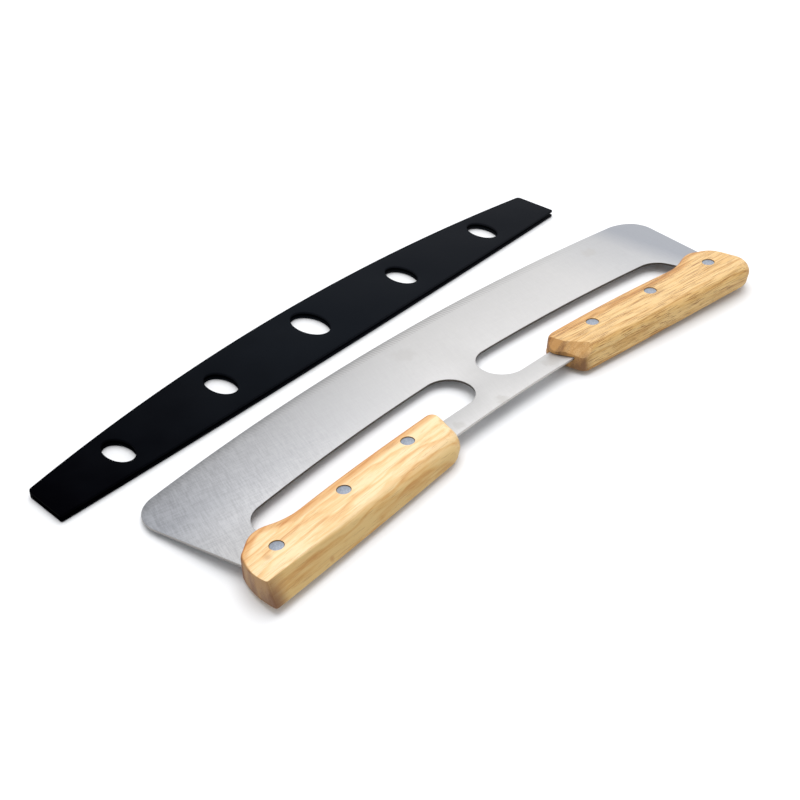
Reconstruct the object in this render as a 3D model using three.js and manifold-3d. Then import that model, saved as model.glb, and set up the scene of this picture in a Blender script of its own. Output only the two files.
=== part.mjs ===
// Two-handled rocker knife lying beside its flat blade guard.
//
// Millimetres, Z up, long axis of the knife along X, cutting edge towards +Y. The knife rests on its
// cutting edge and on the lower front edges of its two grips, so its plane is tipped; the guard lies
// flat in front of it.
// Origin: centre of the underside of the box round both of them.
import * as THREE from "three";
import { mergeVertices } from "three/addons/utils/BufferGeometryUtils.js";
import Module from "manifold-3d";

// ---- driving dimensions: blade (knife plane, y = 0 at the middle of the cutting edge) ----
const BLADE_THICK = 1.2;
const EDGE_RADIUS = 1060; // curve of the cutting edge
const EDGE_LAND = 0.3; // thickness left at the very edge
const GRIND_WIDTH = 6; // ground bevel along the edge, both faces
const TOE_HALF_LENGTH = 178.7; // where the end line would meet the level of the edge's middle
const END_LEAN = Math.tan(THREE.MathUtils.degToRad(11.4)); // blade ends lean in towards the tang
const TOE_RADIUS = 16;
const TANG_BACK = -81.4; // back of the tang at mid length
const TANG_BACK_RADIUS = 975;
const TANG_CORNER_RADIUS = 4;
// finger windows
const WINDOW_INNER = { left: 8.3, right: 5 }; // the bridge between them stands a little to the left
const WINDOW_OUTER = 143;
const WINDOW_TOP = -43.9;
const WINDOW_TOP_RADIUS = 1004;
const WINDOW_BOTTOM = -69.6;
const WINDOW_BOTTOM_RADIUS = 1900;
const WINDOW_END_RADIUS = 12.4;
const WINDOW_FOOT_RADIUS = 3;

// ---- driving dimensions: wooden grips, shaped by hand, so the two differ ----
// u = distance from the middle of the knife; front = side that faces the blade.
// Each corner of the plan has its fillet, the roundings of its upper and lower edge, and how far the
// crown is set off from the foot. A swell on the front edge hooks over the end of the blade.
const GRIP_THICK = 12.6;
const LEFT_GRIP = {
  backInner: { u: 44.1, y: -89, fillet: 14.3, top: 8.4, bottom: 1.3, lean: [-0.8, -0.4] },
  backOuter: { u: 167.2, y: -101.6, fillet: 1.5, top: 0.4, bottom: 1.3, lean: [0.1, 3.9] },
  shoulder: { u: 163.5, y: -76.1, fillet: 8.2, top: 1.5, bottom: 1.6, lean: [0.3, -0.8] },
  swell: { u: 150.6, y: -67.9, fillet: 13.1, top: 1.3, bottom: 2.4, lean: [0, -0.2] },
  waist: { u: 134.4, y: -73.1, fillet: 31.8, top: 1.8, bottom: 3, lean: [0, 0] },
  frontInner: { u: 39, y: -65.1, fillet: 4.3, top: 3.2, bottom: 3.4, lean: [0.8, 0] },
  endBulge: 2,
  frontBulge: 0.9,
  backBulge: 0.5,
};
const RIGHT_GRIP = {
  backInner: { u: 41.7, y: -88.7, fillet: 4.4, top: 4.2, bottom: 1.7, lean: [1, 1] },
  backOuter: { u: 169, y: -102.6, fillet: 11.6, top: 5.8, bottom: 2.6, lean: [0, -1] },
  shoulder: { u: 163, y: -73.7, fillet: 12.7, top: 2.5, bottom: 2.5, lean: [-0.8, -0.1] },
  swell: { u: 150, y: -68.4, fillet: 12.3, top: 1.8, bottom: 2.4, lean: [0, -0.2] },
  waist: { u: 136, y: -73.4, fillet: 30.6, top: 2, bottom: 3, lean: [0, 0] },
  frontInner: { u: 33.6, y: -63.7, fillet: 7.8, top: 1.9, bottom: 4.7, lean: [1.1, -0.2] },
  endBulge: 1.2,
  frontBulge: 1.5,
  backBulge: 0.3,
};
// Facets sanded on the inner end of the right grip: a point on each, and the u it gains per millimetre
// towards the back and per millimetre of height.
const GRIP_FACETS = [
  { at: [35.2, -70, 0.6], across: 0.15, rise: 1.12 },
  { at: [38.3, -81.3, 0.7], across: 0.7, rise: 1.5 },
];
const EDGE_STEPS = 4;
const KERF_GAP = 0.25; // saw slot clearance round the steel
const CUT_REACH = 8; // cutters run this far past what they cut

// ---- driving dimensions: cutler's rivets ----
const RIVET_U = { inner: 65.1, middle: 107.4, outer: 150 };
const RIVET_LINE = -71.9; // rivet line at mid length
const RIVET_LINE_RADIUS = 965;
const HEAD_DIAMETER = 6.3;
const HEAD_THICK = 1.2;
const HEAD_SUNK = 0.3;
const SOCKET_DIAMETER = 4;
const SOCKET_BORE = 2.7;
const SOCKET_BORE_DEPTH = 8.4;
const PIN_DIAMETER = 2.4;
const PIN_LENGTH = 7.4;
const PIN_CHAMFER = 0.4;
const SOCKET_END_GAP = 0.3; // between the end of the socket and the other head
const RIVET_CLEARANCE = 0.25; // round heads and shanks

// ---- driving dimensions: guard (y = 0 at the middle of its mouth) ----
const GUARD_THICK = 4;
const GUARD_HALF_LENGTH = 172.4; // at the mouth
const GUARD_END_TAPER = 1; // ends draw in by this towards the back
const GUARD_DEPTH = 42; // mouth to back at mid length
const GUARD_BACK_RADIUS = 905;
const GUARD_MOUTH_BOW = 1.5; // ends of the mouth sit higher than its middle
const GUARD_MOUTH_CORNER = { fillet: 1, round: 0.35 };
const GUARD_BACK_CORNER = { fillet: 2.4, round: 1 };
const GUARD_SLOT = 1.8;
const GUARD_BACK_WALL = 3.2;
const GUARD_HOLE_PITCH = 64.2;
const GUARD_HOLES = [
  { pitches: 0, y: 24.4, width: 16, height: 24 },
  { pitches: 1, y: 20.4, width: 13.2, height: 20 },
  { pitches: 2, y: 17.5, width: 12.8, height: 19.2 },
];
const GUARD_TURN = THREE.MathUtils.degToRad(2.77);
const GUARD_X = -22.7;
const GUARD_Y = 10.5;

// ---- driving dimensions: how the knife rests ----
const REST_TILT = THREE.MathUtils.degToRad(5.11);

// ---- fineness ----
const ARC_STEP = 12; // longest straight piece of a long curve
const FILLET_STEP = Math.PI / 16;
const HOLE_SEGMENTS = 40;
const BORE_SEGMENTS = 24;
const GRIND_SEGMENTS = 720;
const WELD = 1e-4;
const END_PASSES = 8; // enough for the end levels to settle

const steel = new THREE.MeshStandardMaterial({ color: 0xc3c5c9, roughness: 0.34, metalness: 1 });
const rivetSteel = new THREE.MeshStandardMaterial({ color: 0xa8b0bc, roughness: 0.42, metalness: 1 });
const paleWood = new THREE.MeshStandardMaterial({ color: 0xdfb574, roughness: 0.58, metalness: 0 });
const tanWood = new THREE.MeshStandardMaterial({ color: 0xd3a766, roughness: 0.6, metalness: 0 });
const blackPlastic = new THREE.MeshStandardMaterial({ color: 0x14161a, roughness: 0.48, metalness: 0 });

const wasm = await Module();
wasm.setup();

// Welded solid; triangles that collapse on a turning axis are left out.
function solidOf(geometry) {
  const bare = new THREE.BufferGeometry();
  bare.setAttribute("position", geometry.getAttribute("position").clone());
  if (geometry.index) bare.setIndex(geometry.index.clone());
  const welded = mergeVertices(bare, WELD);
  const kept = [];
  for (let i = 0; i < welded.index.count; i += 3) {
    const [a, b, c] = welded.index.array.slice(i, i + 3);
    if (a !== b && b !== c && a !== c) kept.push(a, b, c);
  }
  const vertProperties = new Float32Array(welded.getAttribute("position").array);
  const triVerts = new Uint32Array(kept);
  return new wasm.Manifold(new wasm.Mesh({ numProp: 3, vertProperties, triVerts }));
}

function geometryOf(solid) {
  const { vertProperties, triVerts } = solid.getMesh();
  const geometry = new THREE.BufferGeometry();
  geometry.setAttribute("position", new THREE.BufferAttribute(new Float32Array(vertProperties), 3));
  geometry.setIndex(new THREE.BufferAttribute(new Uint32Array(triVerts), 1));
  const facets = geometry.toNonIndexed();
  facets.computeVertexNormals();
  return facets;
}

function add(parent, name, geometry, material) {
  const mesh = new THREE.Mesh(geometry, material);
  mesh.name = name;
  parent.add(mesh);
  return mesh;
}

// Depth of a curve of the given radius below its crown, x away from it.
function drop(x, radius) {
  return radius - Math.sqrt(radius * radius - x * x);
}

// One corner of an outline: its fillet, the radius of the edge that leaves it (0 straight, positive
// bowed to the right of travel, negative bowed to the left), and how a solid is rounded and leans there.
function corner(x, y, fillet = 0, bow = 0, form = null) {
  return { at: new THREE.Vector2(x, y), fillet, bow, form };
}

function bowAngle(from, to, bow) {
  return bow === 0 ? 0 : Math.asin(from.distanceTo(to) / 2 / bow);
}

function heading(from, to) {
  return Math.atan2(to.y - from.y, to.x - from.x);
}

// Points of an edge, ends left out.
function edgePoints(from, to, bow) {
  const count = Math.max(2, Math.ceil(from.distanceTo(to) / ARC_STEP));
  if (bow === 0) {
    return Array.from({ length: count - 1 }, (_, i) => from.clone().lerp(to, (i + 1) / count));
  }
  const half = bowAngle(from, to, bow);
  const start = heading(from, to) - half;
  const points = [];
  for (let i = 1; i < count; i += 1) {
    const turned = (2 * half * i) / count;
    const chord = 2 * bow * Math.sin(turned / 2);
    const way = start + turned / 2;
    points.push(new THREE.Vector2(from.x + chord * Math.cos(way), from.y + chord * Math.sin(way)));
  }
  return points;
}

// Closed outline, counterclockwise: points, each with its corner and its share of the way to the next.
function traced(corners) {
  const count = corners.length;
  const rounded = corners.map(({ at, fillet }, i) => {
    const before = corners[(i + count - 1) % count];
    const after = corners[(i + 1) % count];
    const arrive = heading(before.at, at) + bowAngle(before.at, at, before.bow);
    const leave = heading(at, after.at) - bowAngle(at, after.at, corners[i].bow);
    const turn = Math.atan2(Math.sin(leave - arrive), Math.cos(leave - arrive));
    if (fillet === 0) return [at];
    const reach = fillet * Math.tan(Math.abs(turn) / 2);
    const side = Math.sign(turn);
    const first = new THREE.Vector2(at.x - reach * Math.cos(arrive), at.y - reach * Math.sin(arrive));
    const centre = new THREE.Vector2(
      first.x - side * fillet * Math.sin(arrive),
      first.y + side * fillet * Math.cos(arrive),
    );
    const steps = Math.max(2, Math.ceil(Math.abs(turn) / FILLET_STEP));
    const points = [];
    for (let k = 0; k <= steps; k += 1) {
      const way = arrive + (turn * k) / steps;
      points.push(
        new THREE.Vector2(
          centre.x + side * fillet * Math.sin(way),
          centre.y - side * fillet * Math.cos(way),
        ),
      );
    }
    return points;
  });
  return rounded.flatMap((points, i) => {
    const edge = edgePoints(points[points.length - 1], rounded[(i + 1) % count][0], corners[i].bow);
    return [
      ...points.map((at) => ({ at, from: i, share: 0 })),
      ...edge.map((at, k) => ({ at, from: i, share: (k + 1) / (edge.length + 1) })),
    ];
  });
}

function outline(corners) {
  return traced(corners).map(({ at }) => at);
}

function mirrored(corners) {
  return corners
    .map(({ at, fillet, form }, i) => {
      const before = corners[(i + corners.length - 1) % corners.length];
      const flipped = form && { ...form, leanX: -form.leanX };
      return corner(-at.x, at.y, fillet, before.bow, flipped);
    })
    .reverse();
}

// Flat solid of an outline, centred on z = 0.
function plate(points, thickness, holes = []) {
  const shape = new THREE.Shape(points);
  shape.holes = holes.map((hole) => new THREE.Path(hole));
  const geometry = new THREE.ExtrudeGeometry(shape, { depth: thickness, bevelEnabled: false });
  return geometry.translate(0, 0, -thickness / 2);
}

function eased(share) {
  return share * share * (3 - 2 * share);
}

// Solid over an outline, in rings: from its flat underside round the lower edge, up the side and round
// the upper edge to the flat top. Between corners their forms blend.
function carved(corners, thickness) {
  const marks = traced(corners);
  const count = marks.length;
  const places = marks.map(({ at, from, share }, i) => {
    const before = marks[(i + count - 1) % count].at;
    const after = marks[(i + 1) % count].at;
    const arrive = at.clone().sub(before).normalize();
    const along = after.clone().sub(at).normalize().add(arrive).normalize();
    const here = corners[from].form;
    const next = corners[(from + 1) % corners.length].form;
    const blend = (key) => THREE.MathUtils.lerp(here[key], next[key], eased(share));
    const [top, bottom, leanX, leanY] = ["top", "bottom", "leanX", "leanY"].map(blend);
    return { at, inward: new THREE.Vector2(-along.y, along.x), top, bottom, leanX, leanY };
  });
  const rounding = Array.from({ length: EDGE_STEPS + 1 }, (_, k) => (Math.PI / 2) * (k / EDGE_STEPS));
  const lower = rounding.toReversed().map((angle) =>
    places.map(({ at, inward, bottom }) => {
      const spot = at.clone().addScaledVector(inward, bottom * (1 - Math.cos(angle)));
      return new THREE.Vector3(spot.x, spot.y, bottom * (1 - Math.sin(angle)) - thickness / 2);
    }),
  );
  const upper = rounding.map((angle) =>
    places.map(({ at, inward, top, leanX, leanY }) => {
      const spot = at.clone().addScaledVector(inward, top * (1 - Math.cos(angle)));
      const height = thickness / 2 - top * (1 - Math.sin(angle));
      return new THREE.Vector3(spot.x + leanX, spot.y + leanY, height);
    }),
  );
  const rings = [...lower, ...upper];
  const faces = [];
  for (let r = 0; r < rings.length - 1; r += 1) {
    for (let i = 0; i < count; i += 1) {
      const j = (i + 1) % count;
      const [a, b, c, d] = [r * count + i, r * count + j, (r + 1) * count + j, (r + 1) * count + i];
      faces.push(a, b, c, a, c, d);
    }
  }
  const last = (rings.length - 1) * count;
  for (const [a, b, c] of THREE.ShapeUtils.triangulateShape(rings[rings.length - 1], [])) {
    faces.push(last + a, last + b, last + c);
  }
  for (const [a, b, c] of THREE.ShapeUtils.triangulateShape(rings[0], [])) faces.push(a, c, b);
  return new THREE.BufferGeometry().setFromPoints(rings.flat()).setIndex(faces);
}

// Upright cylinder centred on (x, y), between two heights.
function post(x, y, diameter, low, high, segments) {
  const geometry = new THREE.CylinderGeometry(diameter / 2, diameter / 2, high - low, segments);
  return geometry.rotateX(Math.PI / 2).translate(x, y, (low + high) / 2);
}

function rivetY(u) {
  return RIVET_LINE - drop(u, RIVET_LINE_RADIUS);
}

const SIDES = { left: -1, right: 1 };
const rivetSpots = Object.entries(SIDES).flatMap(([side, sign]) =>
  Object.entries(RIVET_U).map(([place, u]) => ({ side, place, x: sign * u, y: rivetY(u) })),
);

const guardHoles = GUARD_HOLES.flatMap(({ pitches, y, width, height }) =>
  (pitches === 0 ? [0] : [-pitches, pitches]).map((n) => ({ x: n * GUARD_HOLE_PITCH, y, width, height })),
);

// x of the blade end at a given level
function bladeEnd(y) {
  return TOE_HALF_LENGTH + y * END_LEAN;
}

// Level at which a curve with this crown and radius runs into the blade end.
function endLevel(crown, radius) {
  let y = crown;
  for (let i = 0; i < END_PASSES; i += 1) y = crown - drop(bladeEnd(y), radius);
  return y;
}

// ---- blade: arched plate with two finger windows, ground along the edge ----
function bladeGeometry() {
  const toeY = endLevel(0, EDGE_RADIUS);
  const footY = endLevel(TANG_BACK, TANG_BACK_RADIUS);
  const toe = bladeEnd(toeY);
  const foot = bladeEnd(footY);
  const rim = outline([
    corner(-foot, footY, TANG_CORNER_RADIUS, -TANG_BACK_RADIUS),
    corner(foot, footY, TANG_CORNER_RADIUS),
    corner(toe, toeY, TOE_RADIUS, EDGE_RADIUS),
    corner(-toe, toeY, TOE_RADIUS),
  ]);
  const outerFoot = WINDOW_BOTTOM - drop(WINDOW_OUTER, WINDOW_BOTTOM_RADIUS);
  const outerTop = WINDOW_TOP - drop(WINDOW_OUTER, WINDOW_TOP_RADIUS);
  const windowCorners = (inner) => [
    corner(inner, WINDOW_BOTTOM, WINDOW_END_RADIUS, -WINDOW_BOTTOM_RADIUS),
    corner(WINDOW_OUTER + (outerTop - outerFoot) * END_LEAN, outerFoot, WINDOW_FOOT_RADIUS),
    corner(WINDOW_OUTER, outerTop, WINDOW_END_RADIUS, WINDOW_TOP_RADIUS),
    corner(inner, WINDOW_TOP, WINDOW_END_RADIUS),
  ];
  const holes = [
    outline(windowCorners(WINDOW_INNER.right)),
    outline(mirrored(windowCorners(WINDOW_INNER.left))),
  ];
  let solid = solidOf(plate(rim, BLADE_THICK, holes));

  // Ground faces: the plate is kept where it lies inside a very flat double cone.
  const spread = 1;
  const slope = (BLADE_THICK - EDGE_LAND) / 2 / GRIND_WIDTH;
  const tip = EDGE_LAND / 2 - spread * slope;
  const cheek = BLADE_THICK;
  const shoulder = EDGE_RADIUS - (cheek - EDGE_LAND / 2) / slope;
  const hub = EDGE_RADIUS / 2;
  const profile = [
    [hub, -cheek],
    [shoulder, -cheek],
    [EDGE_RADIUS + spread, -tip],
    [EDGE_RADIUS + spread, tip],
    [shoulder, cheek],
    [hub, cheek],
    [hub, -cheek],
  ].map(([r, z]) => new THREE.Vector2(r, z));
  const cone = new THREE.LatheGeometry(profile, GRIND_SEGMENTS);
  cone.rotateX(Math.PI / 2).translate(0, -EDGE_RADIUS, 0);
  solid = solid.intersect(solidOf(cone));

  const bore = SOCKET_DIAMETER + 2 * RIVET_CLEARANCE;
  for (const { x, y } of rivetSpots) {
    solid = solid.subtract(solidOf(post(x, y, bore, -BLADE_THICK, BLADE_THICK, BORE_SEGMENTS)));
  }
  return geometryOf(solid);
}

// ---- grips: one piece of wood each, sawn to take the tang, drilled and counterbored ----
// Radius of an edge between two corners that bulges out by so much at its middle.
function bulgeRadius(from, to, bulge) {
  const chord = Math.hypot(to.u - from.u, to.y - from.y);
  return (chord * chord + 4 * bulge * bulge) / (8 * bulge);
}

function gripCorners(grip) {
  const { backInner, backOuter, shoulder, swell, waist, frontInner } = grip;
  const shaped = ({ u, y, fillet, top, bottom, lean }, bow) =>
    corner(u, y, fillet, bow, { top, bottom, leanX: lean[0], leanY: lean[1] });
  return [
    shaped(backInner, bulgeRadius(backInner, backOuter, grip.backBulge)),
    shaped(backOuter, bulgeRadius(backOuter, shoulder, grip.endBulge)),
    shaped(shoulder, 0),
    shaped(swell, 0),
    shaped(waist, bulgeRadius(waist, frontInner, grip.frontBulge)),
    shaped(frontInner, 0),
  ];
}

// Outline of the slot that is sawn for the steel in a grip with this plan.
function kerfCorners(grip) {
  const start = Math.min(grip.frontInner.u, grip.backInner.u) - CUT_REACH;
  const front = grip.frontInner.y + CUT_REACH;
  const footY = endLevel(TANG_BACK, TANG_BACK_RADIUS) - KERF_GAP;
  const startY = TANG_BACK - drop(start, TANG_BACK_RADIUS) - KERF_GAP;
  return [
    corner(start, startY, 0, -TANG_BACK_RADIUS),
    corner(bladeEnd(footY) + KERF_GAP, footY, TANG_CORNER_RADIUS),
    corner(bladeEnd(front) + KERF_GAP, front),
    corner(start, front),
  ];
}

function gripGeometry(side) {
  const grip = side === "left" ? LEFT_GRIP : RIGHT_GRIP;
  const handed = (corners) => (side === "left" ? mirrored(corners) : corners);
  let solid = solidOf(carved(handed(gripCorners(grip)), GRIP_THICK));
  for (const { at, across, rise } of side === "right" ? GRIP_FACETS : []) {
    const kept = new THREE.Vector3(1, across, -rise).normalize();
    solid = solid.trimByPlane(kept.toArray(), kept.dot(new THREE.Vector3(...at)));
  }
  const kerf = plate(outline(handed(kerfCorners(grip))), BLADE_THICK + 2 * KERF_GAP);
  solid = solid.subtract(solidOf(kerf));
  const bore = SOCKET_DIAMETER + 2 * RIVET_CLEARANCE;
  const sink = HEAD_DIAMETER + 2 * RIVET_CLEARANCE;
  const seat = GRIP_THICK / 2 - HEAD_SUNK - HEAD_THICK - RIVET_CLEARANCE;
  for (const { x, y } of rivetSpots.filter((spot) => spot.side === side)) {
    const drill = solidOf(post(x, y, bore, -GRIP_THICK, GRIP_THICK, BORE_SEGMENTS));
    const upper = solidOf(post(x, y, sink, seat, GRIP_THICK, BORE_SEGMENTS));
    const lower = solidOf(post(x, y, sink, -GRIP_THICK, -seat, BORE_SEGMENTS));
    solid = solid.subtract(drill).subtract(upper).subtract(lower);
  }
  return geometryOf(solid);
}

// ---- rivets: a socket half pressed in from above, a pin half from below ----
function turned(profile) {
  const points = profile.map(([r, z]) => new THREE.Vector2(r, z));
  return geometryOf(solidOf(new THREE.LatheGeometry(points, BORE_SEGMENTS).rotateX(Math.PI / 2)));
}

const HEAD_TOP = GRIP_THICK / 2 - HEAD_SUNK;
const HEAD_UNDER = HEAD_TOP - HEAD_THICK;

function socketGeometry() {
  const shank = SOCKET_DIAMETER / 2;
  const bore = SOCKET_BORE / 2;
  const end = -HEAD_UNDER + SOCKET_END_GAP;
  return turned([
    [0, end + SOCKET_BORE_DEPTH],
    [bore, end + SOCKET_BORE_DEPTH],
    [bore, end],
    [shank, end],
    [shank, HEAD_UNDER],
    [HEAD_DIAMETER / 2, HEAD_UNDER],
    [HEAD_DIAMETER / 2, HEAD_TOP],
    [0, HEAD_TOP],
  ]);
}

function pinGeometry() {
  const pin = PIN_DIAMETER / 2;
  const tip = -HEAD_UNDER + PIN_LENGTH;
  return turned([
    [0, -HEAD_TOP],
    [HEAD_DIAMETER / 2, -HEAD_TOP],
    [HEAD_DIAMETER / 2, -HEAD_UNDER],
    [pin, -HEAD_UNDER],
    [pin, tip - PIN_CHAMFER],
    [pin - PIN_CHAMFER, tip],
    [0, tip],
  ]);
}

// ---- guard: flat sheath, open along its mouth and at both ends, with five oval holes ----
function guardGeometry() {
  const backHalf = GUARD_HALF_LENGTH - GUARD_END_TAPER;
  const endY = GUARD_DEPTH - drop(backHalf, GUARD_BACK_RADIUS);
  const mouthRadius = (GUARD_HALF_LENGTH ** 2 + GUARD_MOUTH_BOW ** 2) / (2 * GUARD_MOUTH_BOW);
  const shaped = (x, y, { fillet, round }, bow) =>
    corner(x, y, fillet, bow, { top: round, bottom: round, leanX: 0, leanY: 0 });
  const rim = [
    shaped(-GUARD_HALF_LENGTH, GUARD_MOUTH_BOW, GUARD_MOUTH_CORNER, mouthRadius),
    shaped(GUARD_HALF_LENGTH, GUARD_MOUTH_BOW, GUARD_MOUTH_CORNER, 0),
    shaped(backHalf, endY, GUARD_BACK_CORNER, GUARD_BACK_RADIUS),
    shaped(-backHalf, endY, GUARD_BACK_CORNER, 0),
  ];
  let solid = solidOf(carved(rim, GUARD_THICK));

  const reach = GUARD_HALF_LENGTH + CUT_REACH;
  const slotRadius = GUARD_BACK_RADIUS - GUARD_BACK_WALL;
  const slotEnd = GUARD_DEPTH - GUARD_BACK_WALL - drop(reach, slotRadius);
  const slot = outline([
    corner(-reach, -CUT_REACH),
    corner(reach, -CUT_REACH),
    corner(reach, slotEnd, 0, slotRadius),
    corner(-reach, slotEnd),
  ]);
  solid = solid.subtract(solidOf(plate(slot, GUARD_SLOT)));

  for (const { x, y, width, height } of guardHoles) {
    const cutter = post(0, 0, width, -GUARD_THICK, GUARD_THICK, HOLE_SEGMENTS);
    cutter.scale(1, height / width, 1).translate(x, y, 0);
    solid = solid.subtract(solidOf(cutter));
  }
  return geometryOf(solid);
}

// ---- assembly ----
const knife = new THREE.Group();
add(knife, "blade", bladeGeometry(), steel);
add(knife, "handle_left", gripGeometry("left"), paleWood);
add(knife, "handle_right", gripGeometry("right"), tanWood);
for (const { side, place, x, y } of rivetSpots) {
  const socket = add(knife, `rivet_${side}_${place}_socket`, socketGeometry(), rivetSteel);
  const pin = add(knife, `rivet_${side}_${place}_pin`, pinGeometry(), rivetSteel);
  socket.position.set(x, y, 0);
  pin.position.set(x, y, 0);
}
knife.rotation.x = -REST_TILT;
knife.position.z = -new THREE.Box3().setFromObject(knife, true).min.z;

const guard = add(new THREE.Group(), "blade_guard", guardGeometry(), blackPlastic);
guard.rotation.z = GUARD_TURN;
guard.position.set(GUARD_X, GUARD_Y, GUARD_THICK / 2);

const set = new THREE.Group();
set.add(knife, guard);
const bounds = new THREE.Box3().setFromObject(set, true);
const middle = bounds.getCenter(new THREE.Vector3());
set.position.set(-middle.x, -middle.y, -bounds.min.z);

const root = new THREE.Group();
root.add(set);

export default root;
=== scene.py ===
"""Two-handled rocker knife with riveted wooden grips, and its flat black guard, on a pale table."""

import math

import bmesh
import bpy
from mathutils import Matrix, Quaternion, Vector
from mathutils.geometry import delaunay_2d_cdt


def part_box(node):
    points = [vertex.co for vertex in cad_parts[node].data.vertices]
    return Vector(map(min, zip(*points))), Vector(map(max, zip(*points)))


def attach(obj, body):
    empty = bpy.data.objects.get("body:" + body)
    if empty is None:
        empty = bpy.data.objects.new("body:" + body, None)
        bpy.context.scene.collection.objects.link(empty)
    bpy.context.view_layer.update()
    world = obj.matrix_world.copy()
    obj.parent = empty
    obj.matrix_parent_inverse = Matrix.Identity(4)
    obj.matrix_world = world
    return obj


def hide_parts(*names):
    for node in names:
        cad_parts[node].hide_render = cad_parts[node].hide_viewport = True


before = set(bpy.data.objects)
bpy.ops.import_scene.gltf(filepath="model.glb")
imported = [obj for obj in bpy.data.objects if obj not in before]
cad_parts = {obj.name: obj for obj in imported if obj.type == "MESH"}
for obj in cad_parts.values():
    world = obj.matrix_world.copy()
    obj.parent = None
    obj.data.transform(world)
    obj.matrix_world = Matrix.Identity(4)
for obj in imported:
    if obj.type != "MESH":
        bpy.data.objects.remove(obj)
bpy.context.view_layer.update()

MM = 0.001

# ---- the knife in its own plane, millimetres; y = 0 at the middle of the cutting edge ----
REST_TILT = math.radians(5.11)
BLADE_THICK = 1.2
EDGE_RADIUS = 1060.0
EDGE_LAND = 0.3
GRIND_WIDTH = 6.0
TOE_HALF_LENGTH = 178.7
END_LEAN = math.tan(math.radians(11.4))
TOE_RADIUS = 16.0
TANG_BACK = -81.4
TANG_BACK_RADIUS = 975.0
TANG_CORNER_RADIUS = 4.0
WINDOW_INNER = {"left": 8.3, "right": 5.0}
WINDOW_OUTER = 143.0
WINDOW_TOP = -43.9
WINDOW_TOP_RADIUS = 1004.0
WINDOW_BOTTOM = -69.6
WINDOW_BOTTOM_RADIUS = 1900.0
WINDOW_END_RADIUS = 12.4
WINDOW_FOOT_RADIUS = 3.0
BLADE_ROUND = 0.16
ROUND_SHARE = 0.35  # the most that an edge is rounded, of the half thickness there

# ---- grips; u = distance from the middle of the knife ----
GRIP_THICK = 12.6
GRAIN_ANGLE = math.radians(5.2)
KERF_GAP = 0.25
CUT_REACH = 8.0
GRIP_REACH = 180.0

# ---- rivets ----
RIVET_U = {"inner": 65.1, "middle": 107.4, "outer": 150.0}
RIVET_LINE = -71.9
RIVET_LINE_RADIUS = 965.0
HEAD_RADIUS = 3.15
HEAD_THICK = 1.2
HEAD_SUNK = 0.3
HEAD_ROUND = 0.18
SHANK_RADIUS = 2.0
BORE_RADIUS = 1.35
BORE_DEPTH = 8.4
PIN_RADIUS = 1.2
PIN_LENGTH = 7.4
PIN_CHAMFER = 0.4
SOCKET_END_GAP = 0.3
RIVET_CLEARANCE = 0.14

# ---- guard; y = 0 at the middle of its mouth ----
GUARD_TURN = math.radians(2.77)
GUARD_THICK = 4.0
GUARD_HALF_LENGTH = 172.4
GUARD_END_TAPER = 1.0
GUARD_DEPTH = 42.0
GUARD_BACK_RADIUS = 905.0
GUARD_MOUTH_BOW = 1.5
GUARD_MOUTH_FILLET = 1.0
GUARD_BACK_FILLET = 2.4
GUARD_ROUND = 0.45
GUARD_SLOT = 1.8
GUARD_BACK_WALL = 3.2
GUARD_HOLE_PITCH = 64.2
# pitches out from the middle, y, width, height
GUARD_HOLES = ((0, 24.4, 16.0, 24.0), (1, 20.4, 13.2, 20.0), (2, 17.5, 12.8, 19.2))

# ---- fineness ----
ARC_STEP = 3.0
FILLET_STEP = math.radians(5)
HOLE_SEGMENTS = 72
ROUND_STEPS = 3
GRIP_ROUND_STEPS = 7
SMOOTH_ANGLE = math.radians(32)
SETTLING_STEPS = 8
TRIANGLES_INSIDE = 1  # the output type that leaves out what lies outside the outlines
FILL_MERGE = 1e-6
SLIVER = 5e-7  # metres


# ---------------------------------------------------------------- outlines
class Corner:
    """One corner of an outline: its fillet, the radius of the edge that leaves it, and a grip's form."""

    def __init__(self, x, y, fillet=0.0, bow=0.0, form=None):
        self.at = Vector((x, y))
        self.fillet = fillet
        self.bow = bow
        self.form = form


def drop(x, radius):
    """How far an arc has fallen from its crown at x."""
    return radius - math.sqrt(radius * radius - x * x)


def heading(a, b):
    return math.atan2(b.y - a.y, b.x - a.x)


def bow_angle(a, b, bow):
    """Half the angle that an edge turns through; bow is its radius, negative where it curves inward."""
    return math.asin((b - a).length / 2 / bow) if bow else 0.0


def edge_points(a, b, bow):
    """Points between the ends of one edge, ends left out."""
    count = max(2, math.ceil((b - a).length / ARC_STEP))
    if not bow:
        return [a.lerp(b, i / count) for i in range(1, count)]
    half = bow_angle(a, b, bow)
    start = heading(a, b) - half
    points = []
    for i in range(1, count):
        turn = 2 * half * i / count
        chord = 2 * bow * math.sin(turn / 2)
        way = start + turn / 2
        points.append(Vector((a.x + chord * math.cos(way), a.y + chord * math.sin(way))))
    return points


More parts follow.
